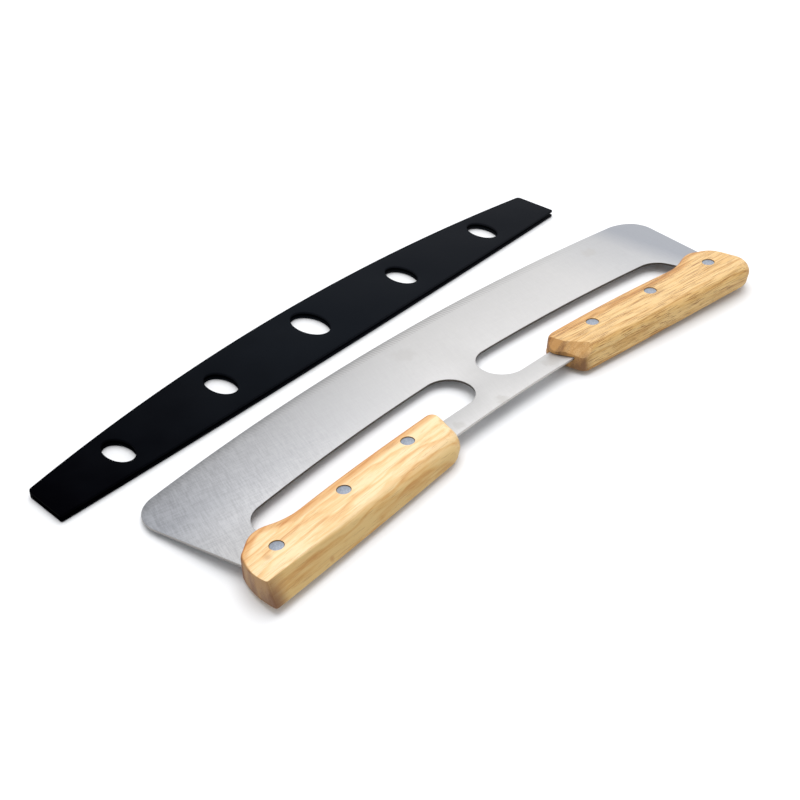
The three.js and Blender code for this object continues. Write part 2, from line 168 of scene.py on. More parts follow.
def outline(corners):
    """Closed counterclockwise outline as (point, corner index, share of the way to the next corner)."""
    count = len(corners)
    rounded = []
    for i, c in enumerate(corners):
        before = corners[i - 1]
        after = corners[(i + 1) % count]
        if not c.fillet:
            rounded.append([c.at])
            continue
        arrive = heading(before.at, c.at) + bow_angle(before.at, c.at, before.bow)
        leave = heading(c.at, after.at) - bow_angle(c.at, after.at, c.bow)
        turn = math.atan2(math.sin(leave - arrive), math.cos(leave - arrive))
        side = math.copysign(1, turn)
        reach = c.fillet * math.tan(abs(turn) / 2)
        first = c.at - reach * Vector((math.cos(arrive), math.sin(arrive)))
        centre = first + side * c.fillet * Vector((-math.sin(arrive), math.cos(arrive)))
        steps = max(2, math.ceil(abs(turn) / FILLET_STEP))
        ways = [arrive + turn * k / steps for k in range(steps + 1)]
        rounded.append([centre + side * c.fillet * Vector((math.sin(w), -math.cos(w))) for w in ways])
    points = []
    for i, fillet in enumerate(rounded):
        points += [(p, i, 0.0) for p in fillet]
        edge = edge_points(fillet[-1], rounded[(i + 1) % count][0], corners[i].bow)
        points += [(p, i, (k + 1) / (len(edge) + 1)) for k, p in enumerate(edge)]
    return points


def plan(corners):
    return [p for p, _, _ in outline(corners)]


def mirrored(corners):
    """The same outline flipped in x, still counterclockwise."""
    flipped = [
        Corner(-c.at.x, c.at.y, c.fillet, corners[i - 1].bow, c.form and c.form.mirrored())
        for i, c in enumerate(corners)
    ]
    return flipped[::-1]


def oval(x, y, half_width, half_height):
    """Clockwise, as the rim of a hole."""
    ways = [-2 * math.pi * k / HOLE_SEGMENTS for k in range(HOLE_SEGMENTS)]
    return [Vector((x + half_width * math.cos(w), y + half_height * math.sin(w))) for w in ways]


def circle(x, y, radius):
    return oval(x, y, radius, radius)


def inward(points):
    """Unit normals that point to the left of travel, into the material."""
    normals = []
    for i, p in enumerate(points):
        along = (p - points[i - 1]).normalized() + (points[(i + 1) % len(points)] - p).normalized()
        normals.append(Vector((-along.y, along.x)).normalized())
    return normals


# ---------------------------------------------------------------- meshes
def inside(p, loops):
    """Even-odd test against all the loops together."""
    odd = False
    for loop in loops:
        for a, b in zip(loop, loop[1:] + loop[:1]):
            if (a.y > p.y) != (b.y > p.y) and p.x < (b.x - a.x) * (p.y - a.y) / (b.y - a.y) + a.x:
                odd = not odd
    return odd


def fill(loops, lines=()):
    """Triangles over the area inside the loops, with the given lines as edges: (points, triangles)."""
    points, edges = [], []
    for loop in loops:
        n = len(points)
        points += loop
        edges += [(n + i, n + (i + 1) % len(loop)) for i in range(len(loop))]
    for line in lines:
        n = len(points)
        points += line
        edges += [(n + i, n + i + 1) for i in range(len(line) - 1)]
    made, _, faces, *_ = delaunay_2d_cdt(points, edges, [], TRIANGLES_INSIDE, FILL_MERGE)
    kept = [f for f in faces if inside((made[f[0]] + made[f[1]] + made[f[2]]) / 3, loops)]
    return made, kept


class Sheet:
    """Collects vertices and faces, welding what lands on the same spot."""

    WELD = 1e4  # grid steps per millimetre

    def __init__(self):
        self.verts = []
        self.faces = []
        self.seen = {}

    def vert(self, x, y, z):
        key = (round(x * self.WELD), round(y * self.WELD), round(z * self.WELD))
        if key not in self.seen:
            self.seen[key] = len(self.verts)
            self.verts.append((x, y, z))
        return self.seen[key]

    def face(self, *corners):
        ids = [self.vert(*c) for c in corners]
        if len(set(ids)) == len(ids):
            self.faces.append(ids)


def plate(loops, half, edge_round, lines=()):
    """Plate with holes and rounded edges: half(point) is its half thickness, lines crease its flats."""
    sheet = Sheet()
    tops = []
    for loop in loops:
        normals = inward(loop)
        rows = []
        for sign in (-1, 1):
            steps = range(ROUND_STEPS, -1, -1) if sign < 0 else range(ROUND_STEPS + 1)
            for k in steps:
                a = math.pi / 2 * k / ROUND_STEPS
                row = []
                for p, n in zip(loop, normals):
                    r = min(edge_round, ROUND_SHARE * half(p))
                    q = p + n * (r * (1 - math.cos(a)))
                    row.append((q.x, q.y, sign * (half(q) - r + r * math.sin(a))))
                rows.append(row)
        for low, high in zip(rows, rows[1:]):
            for i in range(len(loop)):
                j = (i + 1) % len(loop)
                sheet.face(low[i], low[j], high[j], high[i])
        tops.append([Vector(v[:2]) for v in rows[-1]])
    points, triangles = fill(tops, lines)
    for a, b, c in triangles:
        top = [(points[i].x, points[i].y, half(points[i])) for i in (a, b, c)]
        sheet.face(*top)
        sheet.face(*[(x, y, -z) for x, y, z in reversed(top)])
    return sheet


def turned(profile):
    """Solid of revolution about Z of (radius, z) points, first and last on the axis."""
    sheet = Sheet()
    ways = [2 * math.pi * k / HOLE_SEGMENTS for k in range(HOLE_SEGMENTS)]
    rings = [[(r * math.cos(w), r * math.sin(w), z) for w in ways] for r, z in profile]
    for low, high in zip(rings, rings[1:]):
        for i in range(HOLE_SEGMENTS):
            j = (i + 1) % HOLE_SEGMENTS
            ring = [low[i], low[j], high[j], high[i]]
            corners = [c for k, c in enumerate(ring) if c != ring[k - 1]]
            sheet.face(*corners)
    return sheet


def block(loop, low, high):
    """Straight-sided solid over an outline, for cutting."""
    sheet = Sheet()
    for i, p in enumerate(loop):
        q = loop[(i + 1) % len(loop)]
        sheet.face((p.x, p.y, low), (q.x, q.y, low), (q.x, q.y, high), (p.x, p.y, high))
    points, triangles = fill([loop])
    for ids in triangles:
        sheet.face(*[(points[i].x, points[i].y, high) for i in ids])
        sheet.face(*[(points[i].x, points[i].y, low) for i in reversed(ids)])
    return sheet


def solid(name, sheet, place):
    """Object made of a sheet in its own millimetres, placed in the row frame."""
    mesh = bpy.data.meshes.new(name)
    mesh.from_pydata([place @ Vector(v) for v in sheet.verts], [], sheet.faces)
    mesh.validate()
    obj = bpy.data.objects.new(name, mesh)
    bpy.context.scene.collection.objects.link(obj)
    return obj


def cut(obj, cutters):
    """Takes the cutters out of the object, and welds the slivers that they leave behind."""
    for cutter in cutters:
        step = obj.modifiers.new("cut", "BOOLEAN")
        step.operation = "DIFFERENCE"
        step.solver = "EXACT"
        step.object = cutter
    graph = bpy.context.evaluated_depsgraph_get()
    mesh = bpy.data.meshes.new_from_object(obj.evaluated_get(graph))
    obj.modifiers.clear()
    obj.data = mesh
    for cutter in cutters:
        bpy.data.objects.remove(cutter)
    bm = bmesh.new()
    bm.from_mesh(mesh)
    bmesh.ops.remove_doubles(bm, verts=bm.verts, dist=SLIVER)
    bmesh.ops.dissolve_degenerate(bm, dist=SLIVER, edges=bm.edges)
    bm.to_mesh(mesh)
    bm.free()


def finished(obj, place, material, body, slot, *nodes):
    """Smooths a piece, stores its own millimetres for its material, and gives it to its body; slot is not
    used.
    """
    mesh = obj.data
    mesh.shade_smooth()
    mesh.set_sharp_from_angle(angle=SMOOTH_ANGLE)
    own = mesh.attributes.new("own_mm", "FLOAT_VECTOR", "POINT")
    back = place.inverted()
    own.data.foreach_set("vector", [c for v in mesh.vertices for c in back @ v.co])
    mesh.materials.clear()
    mesh.materials.append(material)
    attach(obj, body)
    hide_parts(*nodes)
    return obj


# ---------------------------------------------------------------- where the pieces lie, from the frame
def knife_place():
    """From the knife's own millimetres to the frame: tipped down onto its edge."""
    low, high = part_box("blade")
    land = EDGE_LAND / 2 * MM
    edge_y = high.y - land * math.sin(REST_TILT)
    edge_z = low.z + land * math.cos(REST_TILT)
    at = Vector(((low.x + high.x) / 2, edge_y, edge_z))
    return Matrix.Translation(at) @ Matrix.Rotation(-REST_TILT, 4, "X") @ Matrix.Scale(MM, 4)


def guard_place():
    """From the guard's own millimetres to the frame: lying flat, turned a little."""
    turn = Matrix.Rotation(GUARD_TURN, 4, "Z")
    own = [turn.inverted() @ v.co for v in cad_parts["blade_guard"].data.vertices]
    xs = [v.x for v in own]
    low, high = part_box("blade_guard")
    mouth = Vector(((min(xs) + max(xs)) / 2, min(v.y for v in own), (low.z + high.z) / 2))
    return turn @ Matrix.Translation(mouth) @ Matrix.Scale(MM, 4)


KNIFE = knife_place()
GUARD = guard_place()


# ---------------------------------------------------------------- blade
def blade_end(y):
    """Half length of the blade at this y, where its ends lean."""
    return TOE_HALF_LENGTH + y * END_LEAN


def end_level(crown, radius):
    """The y at which an arc with this crown and radius meets the leaning end."""
    y = crown
    for _ in range(SETTLING_STEPS):
        y = crown - drop(blade_end(y), radius)
    return y


def blade_half(p):
    """Half thickness: full on the flat, tapering across the ground band to the edge."""
    slope = (BLADE_THICK - EDGE_LAND) / 2 / GRIND_WIDTH
    from_edge = EDGE_RADIUS - math.hypot(p.x, p.y + EDGE_RADIUS)
    return min(BLADE_THICK / 2, EDGE_LAND / 2 + max(from_edge, 0) * slope)


def window_corners(inner):
    """The window on the right; the left one is the same from its own inner end, mirrored."""
    foot = WINDOW_BOTTOM - drop(WINDOW_OUTER, WINDOW_BOTTOM_RADIUS)
    top = WINDOW_TOP - drop(WINDOW_OUTER, WINDOW_TOP_RADIUS)
    return [
        Corner(inner, WINDOW_BOTTOM, WINDOW_END_RADIUS, -WINDOW_BOTTOM_RADIUS),
        Corner(WINDOW_OUTER + (top - foot) * END_LEAN, foot, WINDOW_FOOT_RADIUS),
        Corner(WINDOW_OUTER, top, WINDOW_END_RADIUS, WINDOW_TOP_RADIUS),
        Corner(inner, WINDOW_TOP, WINDOW_END_RADIUS),
    ]


def rivet_spots():
    """Side, place along the grip, x and y of every rivet."""
    for side, sign in (("left", -1), ("right", 1)):
        for at, u in RIVET_U.items():
            yield side, at, sign * u, RIVET_LINE - drop(u, RIVET_LINE_RADIUS)


def make_blade(material):
    toe_y = end_level(0, EDGE_RADIUS)
    foot_y = end_level(TANG_BACK, TANG_BACK_RADIUS)
    toe, foot = blade_end(toe_y), blade_end(foot_y)
    rim = plan([
        Corner(-foot, foot_y, TANG_CORNER_RADIUS, -TANG_BACK_RADIUS),
        Corner(foot, foot_y, TANG_CORNER_RADIUS),
        Corner(toe, toe_y, TOE_RADIUS, EDGE_RADIUS),
        Corner(-toe, toe_y, TOE_RADIUS),
    ])
    windows = [
        plan(window_corners(WINDOW_INNER["right"]))[::-1],
        plan(mirrored(window_corners(WINDOW_INNER["left"])))[::-1],
    ]
    bores = [circle(x, y, SHANK_RADIUS + RIVET_CLEARANCE) for _, _, x, y in rivet_spots()]
    loops = [rim, *windows, *bores]
    line_radius = EDGE_RADIUS - GRIND_WIDTH
    reach = math.asin(TOE_HALF_LENGTH / line_radius)
    count = math.ceil(2 * reach * line_radius / ARC_STEP)
    ways = [reach * (2 * k / count - 1) for k in range(count + 1)]
    line = [Vector((line_radius * math.sin(w), line_radius * math.cos(w) - EDGE_RADIUS)) for w in ways]
    line = [p for p in line if inside(p + Vector((math.copysign(1, p.x), 0)), [rim])]
    sheet = plate(loops, blade_half, BLADE_ROUND, [line])
    return finished(solid("blade_steel", sheet, KNIFE), KNIFE, material, "knife", "steel", "blade")


# ---------------------------------------------------------------- grips
class Form:
    """How a grip is worked at a corner of its plan: roundings of top and bottom edge, shift of the crown."""

    def __init__(self, top, bottom, lean_x, lean_y):
        self.values = (top, bottom, lean_x, lean_y)

    def mirrored(self):
        top, bottom, lean_x, lean_y = self.values
        return Form(top, bottom, -lean_x, lean_y)

    def toward(self, other, share):
        ease = share * share * (3 - 2 * share)
        return [a + (b - a) * ease for a, b in zip(self.values, other.values)]


# per corner: u, y, fillet, bulge of the edge that leaves it, and its form
GRIP_CORNERS = {
    "left": (
        (44.1, -89.0, 14.3, 0.5, Form(8.4, 1.3, -0.8, -0.4)),  # back, inner
        (167.2, -101.6, 1.5, 2.0, Form(0.4, 1.3, 0.1, 3.9)),  # back, outer
        (163.5, -76.1, 8.2, 0.0, Form(1.5, 1.6, 0.3, -0.8)),  # shoulder
        (150.6, -67.9, 13.1, 0.0, Form(1.3, 2.4, 0.0, -0.2)),  # swell
        (134.4, -73.1, 31.8, 0.9, Form(1.8, 3.0, 0.0, 0.0)),  # waist
        (39.0, -65.1, 4.3, 0.0, Form(3.2, 3.4, 0.8, 0.0)),  # front, inner
    ),
    "right": (
        (41.7, -88.7, 4.4, 0.3, Form(4.2, 1.7, 1.0, 1.0)),
        (169.0, -102.6, 11.6, 1.2, Form(5.8, 2.6, 0.0, -1.0)),
        (163.0, -73.7, 12.7, 0.0, Form(2.5, 2.5, -0.8, -0.1)),
        (150.0, -68.4, 12.3, 0.0, Form(1.8, 2.4, 0.0, -0.2)),
        (136.0, -73.4, 30.6, 1.5, Form(2.0, 3.0, 0.0, 0.0)),
        (33.6, -63.7, 7.8, 0.0, Form(1.9, 4.7, 1.1, -0.2)),
    ),
}
# facets sanded on the inner end of the right grip: a point on each, and its direction
GRIP_FACETS = (
    (Vector((35.2, -70.0, 0.6)), Vector((-1.0, -0.15, 1.12))),
    (Vector((38.3, -81.3, 0.7)), Vector((-1.0, -0.7, 1.5))),
)


def grip_corners(side):
    given = GRIP_CORNERS[side]
    corners = []
    for i, (u, y, fillet, bulge, form) in enumerate(given):
        after = given[(i + 1) % len(given)]
        chord = math.hypot(after[0] - u, after[1] - y)
        bow = (chord * chord + 4 * bulge * bulge) / (8 * bulge) if bulge else 0
        corners.append(Corner(u, y, fillet, bow, form))
    return mirrored(corners) if side == "left" else corners


def kerf_corners(side):
    (back_u, *_), *_, (front_u, front_y, *_) = GRIP_CORNERS[side]
    start = min(back_u, front_u) - CUT_REACH
    front = front_y + CUT_REACH
    foot_y = end_level(TANG_BACK, TANG_BACK_RADIUS) - KERF_GAP
    start_y = TANG_BACK - drop(start, TANG_BACK_RADIUS) - KERF_GAP
    corners = [
        Corner(start, start_y, 0, -TANG_BACK_RADIUS),
        Corner(blade_end(foot_y) + KERF_GAP, foot_y, TANG_CORNER_RADIUS),
        Corner(blade_end(front) + KERF_GAP, front),
        Corner(start, front),
    ]
    return mirrored(corners) if side == "left" else corners


def grip_sheet(side):
    """Rings round the plan, from the flat underside over both roundings to the flat top."""
    corners = grip_corners(side)
    marked = outline(corners)
    points = [p for p, _, _ in marked]
    forms = [corners[i].form.toward(corners[(i + 1) % len(corners)].form, share) for _, i, share in marked]
    spots = list(zip(points, inward(points), forms))
    top_z = GRIP_THICK / 2
    turns = [math.pi / 2 * k / GRIP_ROUND_STEPS for k in range(GRIP_ROUND_STEPS + 1)]
    rows = []
    for a in reversed(turns):
        row = []
        for p, n, (_, bottom, _, _) in spots:
            q = p + n * (bottom * (1 - math.cos(a)))
            row.append((q.x, q.y, bottom * (1 - math.sin(a)) - top_z))
        rows.append(row)
    for a in turns:
        row = []
        for p, n, (top, _, lean_x, lean_y) in spots:
            q = p + n * (top * (1 - math.cos(a)))
            row.append((q.x + lean_x, q.y + lean_y, top_z - top * (1 - math.sin(a))))
        rows.append(row)
    sheet = Sheet()
    for low, high in zip(rows, rows[1:]):
        for i in range(len(points)):
            j = (i + 1) % len(points)
            sheet.face(low[i], low[j], high[j], high[i])
    for row, z, order in ((rows[-1], top_z, 1), (rows[0], -top_z, -1)):
        flat_points, triangles = fill([[Vector(v[:2]) for v in row]])
        for ids in triangles:
            sheet.face(*[(flat_points[i].x, flat_points[i].y, z) for i in ids[::order]])
    return sheet


def facet_cutter(at, out):
    """A block with one face on the facet, big enough to take off all that stands above it."""
    half = GRIP_THICK * 2
    sheet = block([Vector(c) for c in ((-half, -half), (half, -half), (half, half), (-half, half))], 0, half)
    turn = out.to_track_quat("Z", "Y").to_matrix().to_4x4()
    return solid("facet", sheet, KNIFE @ Matrix.Translation(at) @ turn)


def make_grip(side, material, slot):
    grip = solid(f"grip_{side}", grip_sheet(side), KNIFE)
    kerf_half = BLADE_THICK / 2 + KERF_GAP
    cutters = [solid("kerf", block(plan(kerf_corners(side)), -kerf_half, kerf_half), KNIFE)]
    if side == "right":
        cutters += [facet_cutter(*facet) for facet in GRIP_FACETS]
    seat = GRIP_THICK / 2 - HEAD_SUNK - HEAD_THICK - RIVET_CLEARANCE
    for which, _, x, y in rivet_spots():
        if which != side:
            continue
        sink = circle(x, y, HEAD_RADIUS + RIVET_CLEARANCE)[::-1]
        drill = circle(x, y, SHANK_RADIUS + RIVET_CLEARANCE)[::-1]
        cutters += [
            solid("drill", block(drill, -GRIP_THICK, GRIP_THICK), KNIFE),
            solid("sink_top", block(sink, seat, GRIP_THICK), KNIFE),
            solid("sink_bottom", block(sink, -GRIP_THICK, -seat), KNIFE),
        ]
    cut(grip, cutters)
    return finished(grip, KNIFE, material, "knife", slot, f"handle_{side}")


# ---------------------------------------------------------------- rivets
HEAD_TOP = GRIP_THICK / 2 - HEAD_SUNK
HEAD_UNDER = HEAD_TOP - HEAD_THICK


def head_edge(outward):
    """The rounded rim of a head, from its side to its flat face; outward is the face's z direction."""
    for k in range(ROUND_STEPS + 1):
        a = math.pi / 2 * k / ROUND_STEPS
        r = HEAD_RADIUS - HEAD_ROUND * (1 - math.cos(a))
        yield r, outward * (HEAD_TOP - HEAD_ROUND * (1 - math.sin(a)))


def socket_profile():
    end = -HEAD_UNDER + SOCKET_END_GAP
    return [
        (0, end + BORE_DEPTH), (BORE_RADIUS, end + BORE_DEPTH), (BORE_RADIUS, end), (SHANK_RADIUS, end),
        (SHANK_RADIUS, HEAD_UNDER), (HEAD_RADIUS, HEAD_UNDER), *head_edge(1), (0, HEAD_TOP),
    ]


def pin_profile():
    tip = -HEAD_UNDER + PIN_LENGTH
    return [
        (0, -HEAD_TOP), *reversed(list(head_edge(-1))), (HEAD_RADIUS, -HEAD_UNDER), (PIN_RADIUS, -HEAD_UNDER),
        (PIN_RADIUS, tip - PIN_CHAMFER), (PIN_RADIUS - PIN_CHAMFER, tip), (0, tip),
    ]


def make_rivets(material):
    for side, at, x, y in rivet_spots():
        place = KNIFE @ Matrix.Translation((x, y, 0))
        for half, profile in (("socket", socket_profile()), ("pin", pin_profile())):
            piece = solid(f"rivet_{side}_{at}_{half}_steel", turned(profile), place)
            finished(piece, place, material, "knife", "rivet_steel", f"rivet_{side}_{at}_{half}")


# ---------------------------------------------------------------- guard
def make_guard(material):
    back_half = GUARD_HALF_LENGTH - GUARD_END_TAPER
    end_y = GUARD_DEPTH - drop(back_half, GUARD_BACK_RADIUS)
    mouth_radius = (GUARD_HALF_LENGTH**2 + GUARD_MOUTH_BOW**2) / (2 * GUARD_MOUTH_BOW)
    rim = plan([
        Corner(-GUARD_HALF_LENGTH, GUARD_MOUTH_BOW, GUARD_MOUTH_FILLET, mouth_radius),
        Corner(GUARD_HALF_LENGTH, GUARD_MOUTH_BOW, GUARD_MOUTH_FILLET),
        Corner(back_half, end_y, GUARD_BACK_FILLET, GUARD_BACK_RADIUS),
        Corner(-back_half, end_y, GUARD_BACK_FILLET),
    ])
    holes = [
        oval(n * GUARD_HOLE_PITCH, y, width / 2, height / 2)
        for pitches, y, width, height in GUARD_HOLES
        for n in sorted({-pitches, pitches})
    ]
    sheet = plate([rim, *holes], lambda p: GUARD_THICK / 2, GUARD_ROUND)
    guard = solid("guard_shell", sheet, GUARD)
    reach = GUARD_HALF_LENGTH + CUT_REACH
    slot_radius = GUARD_BACK_RADIUS - GUARD_BACK_WALL
    slot_end = GUARD_DEPTH - GUARD_BACK_WALL - drop(reach, slot_radius)
    slot = plan([
        Corner(-reach, -CUT_REACH),
        Corner(reach, -CUT_REACH),
        Corner(reach, slot_end, 0, slot_radius),
        Corner(-reach, slot_end),
    ])
    cut(guard, [solid("slot", block(slot, -GUARD_SLOT / 2, GUARD_SLOT / 2), GUARD)])
    return finished(guard, GUARD, material, "guard", "black_plastic", "blade_guard")


# ---------------------------------------------------------------- materials
# Colours are linear. Patterns on the pieces are laid out in each piece's own millimetres, so a noise's
# scale or size is in repeats per millimetre. A ramp's stops are (position, grey or colour).
class Nodes:
    """Short names for building a node tree."""

    def __init__(self, name):
        self.material = bpy.data.materials.new(name)
        self.material.use_nodes = True
        self.tree = self.material.node_tree
        self.shader = self.tree.nodes["Principled BSDF"]

    def put(self, value, socket):
        if isinstance(value, bpy.types.NodeSocket):
            self.tree.links.new(value, socket)
        else:
            socket.default_value = value

    def own(self):
        """The point in the piece's own millimetres."""
        node = self.tree.nodes.new("ShaderNodeAttribute")
        node.attribute_name = "own_mm"
        return node.outputs["Vector"]

    def facing(self, kind="Normal"):
        return self.tree.nodes.new("ShaderNodeNewGeometry").outputs[kind]

    def math(self, operation, a, b=0.0, c=0.0, clamp=False):
        node = self.tree.nodes.new("ShaderNodeMath")
        node.operation = operation
        node.use_clamp = clamp
        for value, socket in zip((a, b, c), node.inputs):
            self.put(value, socket)
        return node.outputs[0]

    def plus(self, a, b):
        return self.math("ADD", a, b)

    def minus(self, a, b):
        return self.math("SUBTRACT", a, b)

    def times(self, a, b):
        return self.math("MULTIPLY", a, b)

    def over(self, a, b):
        return self.math("DIVIDE", a, b)

    def hypot(self, a, b):
        return self.math("SQRT", self.plus(self.times(a, a), self.times(b, b)))

    def swing(self, wave, share):
        """A noise moved to vary about zero, times a share."""
        return self.times(self.minus(wave, 0.5), share)

    def split(self, vector):
        node = self.tree.nodes.new("ShaderNodeSeparateXYZ")
        self.put(vector, node.inputs[0])
        return node.outputs

    def joined(self, x, y, z):
        node = self.tree.nodes.new("ShaderNodeCombineXYZ")
        for value, socket in zip((x, y, z), node.inputs):
            self.put(value, socket)
        return node.outputs[0]

    def gap(self, vector, at):
        """Distance to one spot."""
        node = self.tree.nodes.new("ShaderNodeVectorMath")
        node.operation = "DISTANCE"
        self.put(vector, node.inputs[0])
        node.inputs[1].default_value = at
        return node.outputs["Value"]

    def mapped(self, vector, turn=0.0, scale=(1, 1, 1), shift=(0, 0, 0)):
        """The vector turned about Z, then scaled, then shifted."""
        turner = self.tree.nodes.new("ShaderNodeVectorRotate")
        turner.rotation_type = "Z_AXIS"
        self.put(vector, turner.inputs["Vector"])
        turner.inputs["Angle"].default_value = turn
        node = self.tree.nodes.new("ShaderNodeMapping")
        self.put(turner.outputs[0], node.inputs["Vector"])
        node.inputs["Scale"].default_value = scale
        node.inputs["Location"].default_value = shift
        return node.outputs[0]

    def noise(self, vector, scale=1.0, detail=2.0, rough=0.5, distort=0.0):
        node = self.tree.nodes.new("ShaderNodeTexNoise")
        self.put(vector, node.inputs["Vector"])
        node.inputs["Scale"].default_value = scale
        node.inputs["Detail"].default_value = detail
        node.inputs["Roughness"].default_value = rough
        node.inputs["Distortion"].default_value = distort
        return node.outputs["Fac"]

    def drawn_out(self, vector, size, turn=0.0, shift=(0, 0, 0), **grade):
        """Noise drawn out into streaks; size is its repeats per millimetre along x, y and z."""
        return self.noise(self.mapped(vector, turn, size, shift), **grade)

    def ramp(self, value, *stops):
        node = self.tree.nodes.new("ShaderNodeValToRGB")
        self.put(value, node.inputs[0])
        elements = node.color_ramp.elements
        while len(elements) < len(stops):
            elements.new(0.5)
        for element, (at, tone) in zip(elements, stops):
            element.position = at
            element.color = (*((tone,) * 3 if isinstance(tone, (int, float)) else tone), 1)
        return node.outputs[0]

    def mix(self, share, a, b, blend="MIX"):
        node = self.tree.nodes.new("ShaderNodeMix")
        node.data_type = "RGBA"
        node.blend_type = blend
        self.put(share, node.inputs["Factor"])
        for value, name in ((a, "A"), (b, "B")):
            colours = [s for s in node.inputs if s.name == name and s.type == "RGBA"]
            self.put((*value, 1) if isinstance(value, tuple) else value, colours[0])
        return [s for s in node.outputs if s.type == "RGBA"][0]

    def tinted(self, share, colour, tint):
        """The colour multiplied by a tint, as far as the share goes."""
        return self.mix(share, colour, self.mix(1.0, colour, tint, "MULTIPLY"))

    def bump(self, height, distance, strength):
        node = self.tree.nodes.new("ShaderNodeBump")
        self.put(height, node.inputs["Height"])
        node.inputs["Distance"].default_value = distance
        node.inputs["Strength"].default_value = strength
        return node.outputs[0]

    def set(self, **values):
        for name, value in values.items():
            self.put(value, self.shader.inputs[name.replace("_", " ")])
        return self.material


# ---- steel ----
STEEL_LIGHT = (0.448, 0.4424, 0.4416)
STEEL_DARK = (0.352, 0.348, 0.348)
STEEL_CLOUD = {"scale": 0.02, "detail": 3, "rough": 0.5}
STEEL_ROUGH = 0.40
STEEL_BUMP = 0.00002
# two crossing directions of fine scratches, and how much each counts
SCRATCHES = (
    ({"size": (0.14, 1.7, 1), "turn": math.radians(12)}, 0.42),
    ({"size": (0.16, 1.5, 1), "turn": math.radians(-70), "shift": (31, 7, 0)}, 0.58),
)
SCRATCH_GRADE = {"detail": 3, "rough": 0.65}
SCRATCH_WEAR = ((0.35, 0.35), (0.70, 1.6))  # stronger toward the left end

# grinding lines: their spacing, the noise that shakes it, and how strong they are from left to right
GRIND_PITCH = 1.8
GRIND_JITTER = {"scale": 0.12, "detail": 2, "rough": 0.5}
GRIND_SHAKE = 1.6
GRIND_BLEND = 0.3
GRIND_FADE = ((0.0, 0.0), (0.10, 0.8), (0.8, 1.0))
GRIND_STRENGTH = ((0.0, 0.1), (0.2, 0.16), (0.32, 0.28), (0.46, 0.58), (0.6, 0.7), (0.8, 0.3), (0.92, 0.0))
GRIND_SHARE = 0.8
GRIND_DARK = (0.23, 0.227, 0.223)

# painted shade, tinted cool, toward both ends of the blade: from left to right, and from the edge to the tang
SHADE_TINT = (0.60, 0.635, 0.70)
BACK_REACH = 100.0  # this far behind the edge counts as 1
SHADE_LEFT = ((0.0, 0.9), (0.12, 0.6), (0.35, 0.25), (0.5, 0.0))
SHADE_RIGHT = ((0.78, 0.0), (0.90, 0.40), (0.94, 1.0))
SHADE_BACKWARD = ((0.35, 1.0), (0.75, 0.2))

# faint handling marks: middle, size and strength
SMUDGES = (
    ((129.0, -22.0, 0.6), 5.0, 0.45),
    ((-9.0, -17.0, 0.6), 7.0, 0.25),
    ((-8.0, -79.0, 0.6), 4.0, 0.6),
    ((-36.0, -78.0, 0.6), 3.5, 0.5),
    ((31.0, -76.0, 0.6), 5.5, 0.45),
)
SMUDGE_TONE = (0.328, 0.32, 0.308)
SMUDGE_WOBBLE = {"scale": 0.3, "detail": 3, "rough": 0.6}
SMUDGE_RAGGED = 1.6
SMUDGE_FADE = ((0.55, 1.0), (0.95, 0.0))

# the cut walls of the sheet are dark, but painted bright as a highlight at the outer ends and along the
# tang's back
WALL_DARK = (0.035, 0.029, 0.025)
WALL_LIGHT = (0.11, 0.10, 0.09)
WALL_HIGHLIGHT = (0.48, 0.46, 0.44)
WALL_MOTTLE = {"scale": 0.8, "detail": 3, "rough": 0.6}
HIGHLIGHT_AT_ENDS = ((0.86, 0.0), (0.90, 0.6))
HIGHLIGHT_AT_BACK = ((0.765, 0.0), (0.785, 1.0))
WALL_TO_FLAT = ((0.30, 0.0), (0.75, 1.0))


def grinding(n, x, y, sideways):
    """Lines left by the grinding wheel, square to the edge: how light, and how strong in each place."""
    up = n.plus(y, EDGE_RADIUS)
    depth = n.minus(EDGE_RADIUS, n.hypot(x, up))
    along = n.times(n.math("ARCTAN2", x, up), EDGE_RADIUS)
    jitter = n.noise(n.joined(along, 0.0, 0.0), **GRIND_JITTER)
    phase = n.plus(n.times(along, 2 * math.pi / GRIND_PITCH), n.times(jitter, GRIND_SHAKE))
    lines = n.plus(n.times(n.math("SINE", phase), 0.5), 0.5)
    band = n.math("SUBTRACT", 1.0, n.over(depth, GRIND_WIDTH + GRIND_BLEND), clamp=True)
    return lines, n.times(n.ramp(band, *GRIND_FADE), n.ramp(sideways, *GRIND_STRENGTH))


